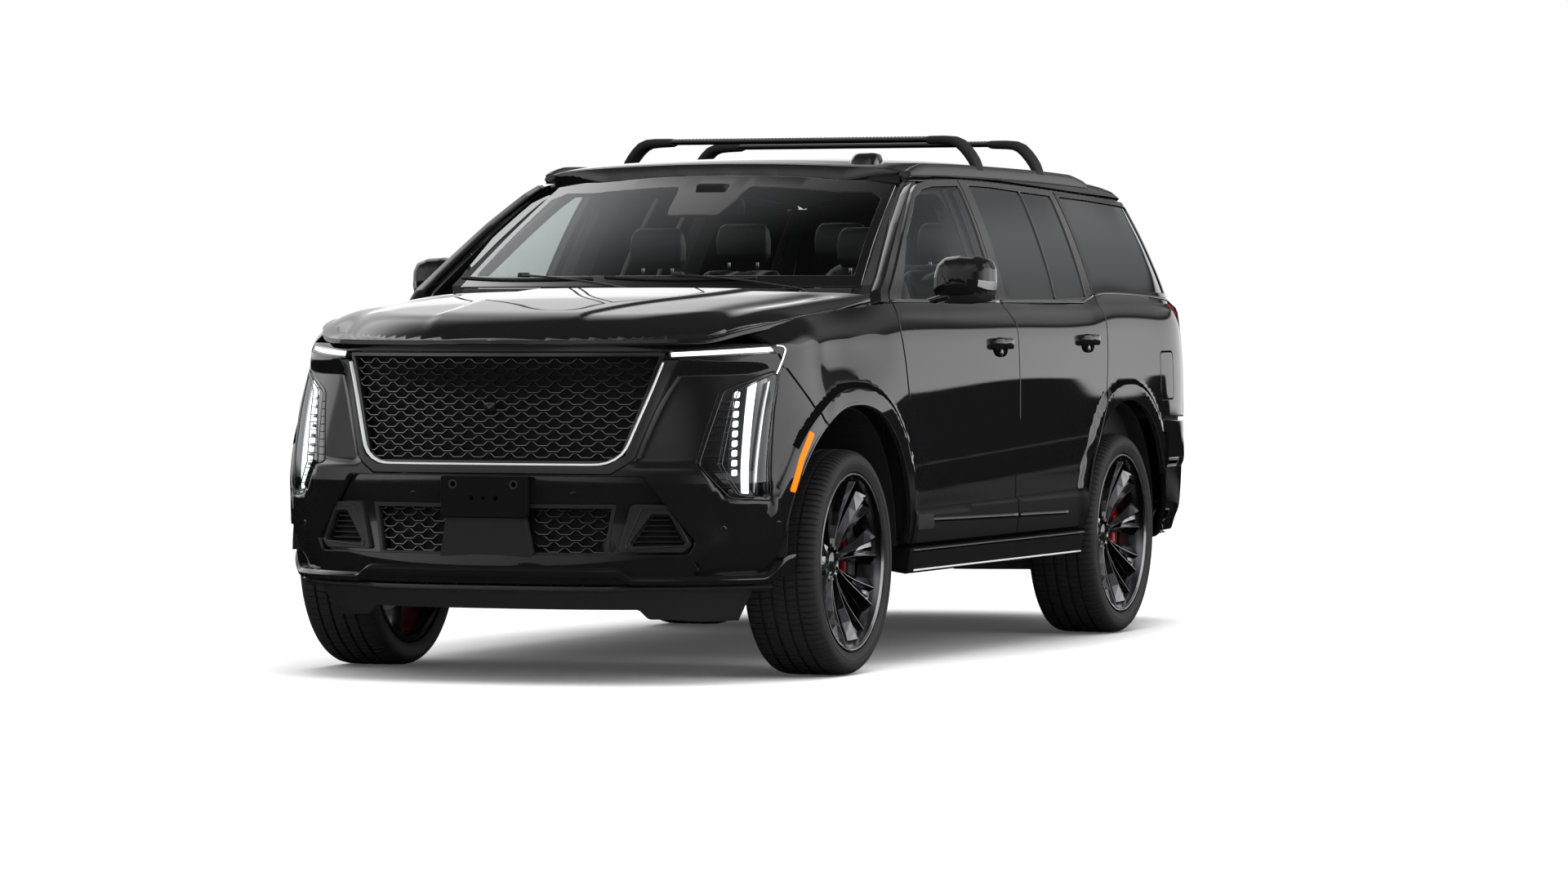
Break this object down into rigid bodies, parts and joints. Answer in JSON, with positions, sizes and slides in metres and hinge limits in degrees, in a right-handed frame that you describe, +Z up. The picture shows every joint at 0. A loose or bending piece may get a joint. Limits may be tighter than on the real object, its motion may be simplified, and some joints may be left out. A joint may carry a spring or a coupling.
{
  "type": "suv",
  "caption": "Full-size family SUV with opening doors, hood, liftgate and fuel door, steered front wheels, three rows of seats, roof rails and cross bars.",
  "frame": {"origin": "on the ground, in the middle of the length and width of the box round the whole vehicle", "axes": "+Z up, -Y towards the front of the vehicle, +X towards its left-hand side"},
  "size_m": [2.3676, 5.3803, 1.9899],
  "materials": {
    "black_paint": "gloss black clear-coated paint",
    "clear_glass": "clear laminated glass",
    "dark_glass": "dark privacy glass",
    "lamp_lens": "clear polycarbonate lens",
    "red_lens": "red polycarbonate lens",
    "gloss_black": "gloss black moulding",
    "matte_black": "grained black moulding",
    "wheel_black": "gloss black painted alloy",
    "tyre": "black rubber",
    "frame_steel": "satin black coated steel",
    "cast_iron": "as-cast grey metal",
    "steel": "brushed stainless steel",
    "seat_leather": "black leather"
  },
  "bodies": {
    "body": {"chassis_frame": "frame_steel", "cross_bars": "matte_black", "dashboard": "matte_black", "driveline": "cast_iron", "engine_block": "cast_iron", "exhaust": "steel", "fenders": "black_paint", "firewall": "frame_steel", "floor_pan": "frame_steel", "front_bumper": "black_paint", "front_suspension": "cast_iron", "grille": "gloss_black", "headlamps": "lamp_lens", "plate_bracket": "matte_black", "quarter_panels": "black_paint", "quarter_windows": "dark_glass", "rear_bumper": "black_paint", "rear_suspension": "cast_iron", "roof": "black_paint", "roof_rails": "gloss_black", "running_boards": "matte_black", "seats": "seat_leather", "side_frames": "frame_steel", "splitter": "gloss_black", "steering_column": "matte_black", "tail_lamps": "red_lens", "wheel_liners": "matte_black", "wheelhouses": "frame_steel", "windscreen_posts": "black_paint", "windshield": "clear_glass"},
    "hood": {"hood": "black_paint"},
    "front_door_left": {"front_door_left": "black_paint", "front_door_glass_left": "clear_glass", "mirror_left": "black_paint"},
    "front_door_right": {"front_door_right": "black_paint", "front_door_glass_right": "clear_glass", "mirror_right": "black_paint"},
    "rear_door_left": {"rear_door_left": "black_paint", "rear_door_glass_left": "dark_glass"},
    "rear_door_right": {"rear_door_right": "black_paint", "rear_door_glass_right": "dark_glass"},
    "liftgate": {"liftgate": "black_paint", "liftgate_glass": "dark_glass"},
    "fuel_door": {"fuel_door": "black_paint"},
    "steering_wheel": {"steering_wheel": "matte_black"},
    "knuckle_left": {"knuckle_left": "cast_iron"},
    "knuckle_right": {"knuckle_right": "cast_iron"},
    "wheel_front_left": {"rim_front_left": "wheel_black", "tyre_front_left": "tyre"},
    "wheel_front_right": {"rim_front_right": "wheel_black", "tyre_front_right": "tyre"},
    "wheel_rear_left": {"rim_rear_left": "wheel_black", "tyre_rear_left": "tyre"},
    "wheel_rear_right": {"rim_rear_right": "wheel_black", "tyre_rear_right": "tyre"}
  },
  "joints": [
    {"name": "hood_hinge", "type": "hinge", "parent": "body", "child": "hood", "pos_m": [0, -1.186, 1.396], "axis": [-1, 0, 0], "range_deg": [0, 55]},
    {"name": "front_door_left_hinge", "type": "hinge", "parent": "body", "child": "front_door_left", "pos_m": [1.03, -1.15, 0.9], "axis": [0, 0, -1], "range_deg": [0, 68]},
    {"name": "front_door_right_hinge", "type": "hinge", "parent": "body", "child": "front_door_right", "pos_m": [-1.03, -1.15, 0.9], "axis": [0, 0, 1], "range_deg": [0, 68]},
    {"name": "rear_door_left_hinge", "type": "hinge", "parent": "body", "child": "rear_door_left", "pos_m": [1.031, 0.046, 0.9], "axis": [0, 0, -1], "range_deg": [0, 70]},
    {"name": "rear_door_right_hinge", "type": "hinge", "parent": "body", "child": "rear_door_right", "pos_m": [-1.031, 0.046, 0.9], "axis": [0, 0, 1], "range_deg": [0, 70]},
    {"name": "liftgate_hinge", "type": "hinge", "parent": "body", "child": "liftgate", "pos_m": [0, 2.212, 1.842], "axis": [1, 0, 0], "range_deg": [0, 85]},
    {"name": "fuel_door_hinge", "type": "hinge", "parent": "body", "child": "fuel_door", "pos_m": [1.014, 1.8525, 1.0385], "axis": [0, 0, -1], "range_deg": [0, 100]},
    {"name": "steer_left", "type": "hinge", "parent": "body", "child": "knuckle_left", "pos_m": [0.78, -1.7, 0.405], "axis": [0, 0, 1], "range_deg": [-32, 32]},
    {"name": "steer_right", "type": "hinge", "parent": "body", "child": "knuckle_right", "pos_m": [-0.78, -1.7, 0.405], "axis": [0, 0, 1], "range_deg": [-32, 32]},
    {"name": "steering_wheel_turn", "type": "hinge", "parent": "body", "child": "steering_wheel", "pos_m": [0.43, -0.64, 1.13], "axis": [0, 0.9063, 0.4226], "range_deg": [-480, 480]},
    {"name": "wheel_front_left_spin", "type": "hinge", "parent": "knuckle_left", "child": "wheel_front_left", "pos_m": [0.87, -1.7, 0.405], "axis": [1, 0, 0], "continuous": true},
    {"name": "wheel_rear_left_spin", "type": "hinge", "parent": "body", "child": "wheel_rear_left", "pos_m": [0.87, 1.371, 0.405], "axis": [1, 0, 0], "continuous": true},
    {"name": "wheel_front_right_spin", "type": "hinge", "parent": "knuckle_right", "child": "wheel_front_right", "pos_m": [-0.87, -1.7, 0.405], "axis": [1, 0, 0], "continuous": true},
    {"name": "wheel_rear_right_spin", "type": "hinge", "parent": "body", "child": "wheel_rear_right", "pos_m": [-0.87, 1.371, 0.405], "axis": [1, 0, 0], "continuous": true}
  ],
  "couplings": [
    {"joint": "steer_right", "follows": "steer_left", "ratio": 1},
    {"joint": "steering_wheel_turn", "follows": "steer_left", "ratio": 15}
  ]
}
